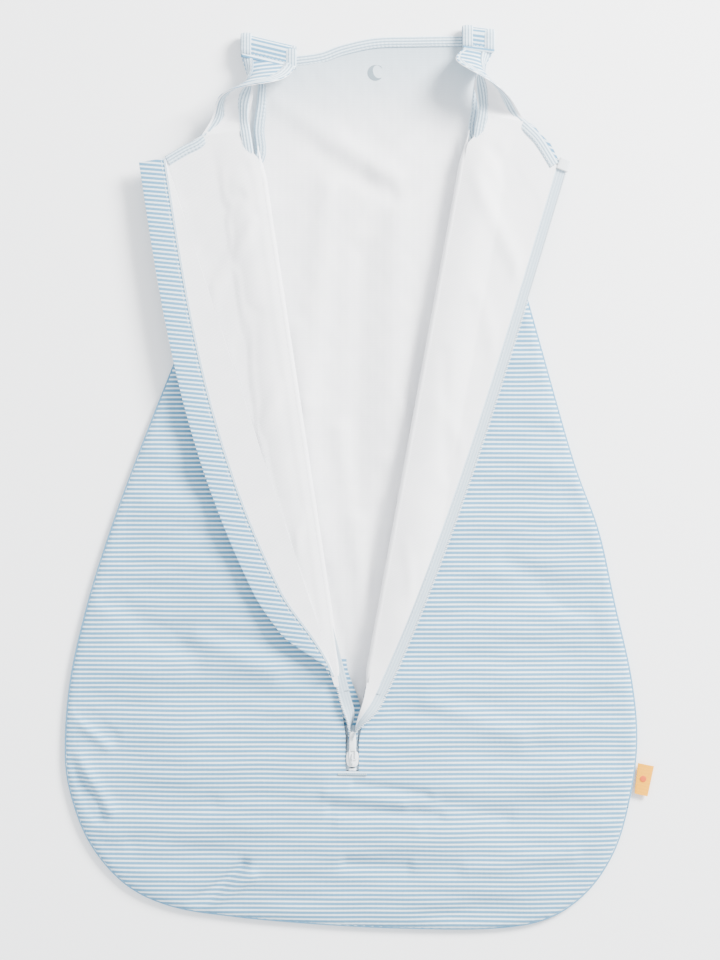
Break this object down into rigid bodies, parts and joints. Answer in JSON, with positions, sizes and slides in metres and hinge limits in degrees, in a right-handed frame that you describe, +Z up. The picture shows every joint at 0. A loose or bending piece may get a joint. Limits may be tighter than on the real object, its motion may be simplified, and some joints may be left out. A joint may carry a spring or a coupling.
{
  "type": "baby sleeping bag",
  "caption": "Sleeveless pear-shaped baby sleeping bag in fine striped jersey with white lining, lying open with both front flaps folded back along a centre zip.",
  "frame": {"origin": "on the floor under the lower back, on the line straight up from the bottom of the zip, at mid-length of the bag; the bag lies on its back", "axes": "+X to the right as seen from above with the neck at the top, +Y towards the neck, +Z up from the floor"},
  "size_m": [0.4592, 0.7037, 0.038],
  "materials": {
    "striped_jersey": "fine light-blue and white striped cotton jersey, matte",
    "binding_jersey": "the striped jersey cut lengthwise, twin-needle stitched",
    "lining_jersey": "plain white cotton jersey, matte",
    "zip_tape": "woven grey-blue polyester tape",
    "zip_coil": "nylon coil teeth, satin",
    "zip_garage": "grey-white folded tape",
    "zip_metal": "white enamelled zinc",
    "label": "woven yellow satin tag with a plain orange ring",
    "thread": "polyester sewing thread"
  },
  "bodies": {
    "bag": {"back_outer": "striped_jersey", "back_lining": "lining_jersey", "front_outer": "striped_jersey", "front_lining": "lining_jersey", "left_side_seam": "striped_jersey", "right_side_seam": "striped_jersey", "hem_seam": "striped_jersey", "back_neck_binding": "binding_jersey", "left_back_armhole_binding": "binding_jersey", "right_back_armhole_binding": "binding_jersey", "left_shoulder": "striped_jersey", "right_shoulder": "striped_jersey", "left_shoulder_seam": "striped_jersey", "right_shoulder_seam": "striped_jersey", "left_strap": "striped_jersey", "right_strap": "striped_jersey", "left_foot_tape": "zip_tape", "right_foot_tape": "zip_tape", "left_foot_coil": "zip_coil", "right_foot_coil": "zip_coil", "bottom_stop": "zip_coil", "bar_tack": "thread"},
    "left_flap": {"left_flap_outer": "striped_jersey", "left_flap_lining": "lining_jersey", "left_neck_binding": "binding_jersey", "left_front_armhole_binding": "binding_jersey", "left_zip_tape": "zip_tape", "left_zip_coil": "zip_coil", "left_top_stop": "zip_coil"},
    "right_flap": {"right_flap_outer": "striped_jersey", "right_flap_lining": "lining_jersey", "right_neck_binding": "binding_jersey", "right_front_armhole_binding": "binding_jersey", "right_zip_tape": "zip_tape", "right_zip_coil": "zip_coil", "right_top_stop": "zip_coil", "zip_garage": "zip_garage"},
    "guard": {"zip_guard": "striped_jersey"},
    "slider": {"slider": "zip_metal"},
    "puller": {"puller": "zip_metal"},
    "label": {"side_label": "label"}
  },
  "joints": [
    {"name": "left_flap_fold", "type": "hinge", "parent": "bag", "child": "left_flap", "pos_m": [0, -0.2235, 0.016], "axis": [-0.1504, 0.9886, -0.01], "range_deg": [0, 177], "deforming": ["left_strap", "left_foot_tape", "left_foot_coil"]},
    {"name": "right_flap_fold", "type": "hinge", "parent": "bag", "child": "right_flap", "pos_m": [0, -0.2235, 0.016], "axis": [-0.1805, -0.9835, 0.01], "range_deg": [0, 177], "deforming": ["right_strap", "right_foot_tape", "right_foot_coil"]},
    {"name": "guard_lift", "type": "hinge", "parent": "left_flap", "child": "guard", "pos_m": [-0.01192, -0.15446, 0.02093], "axis": [-0.3117, 0.95, -0.0185], "range_deg": [0, 175]},
    {"name": "slider_run", "type": "slide", "parent": "bag", "child": "slider", "axis": [0.0144, 0.9999, 0.0074], "range_m": [0, 0.458]},
    {"name": "puller_swing", "type": "hinge", "parent": "slider", "child": "puller", "pos_m": [0.00012, -0.21506, 0.01676], "axis": [0.9999, -0.0153, 0], "range_deg": [0, 160]},
    {"name": "label_flip", "type": "hinge", "parent": "bag", "child": "label", "pos_m": [0.2226, -0.2195, 0.0024], "axis": [-0.1132, -0.9936, 0], "range_deg": [0, 105]}
  ]
}
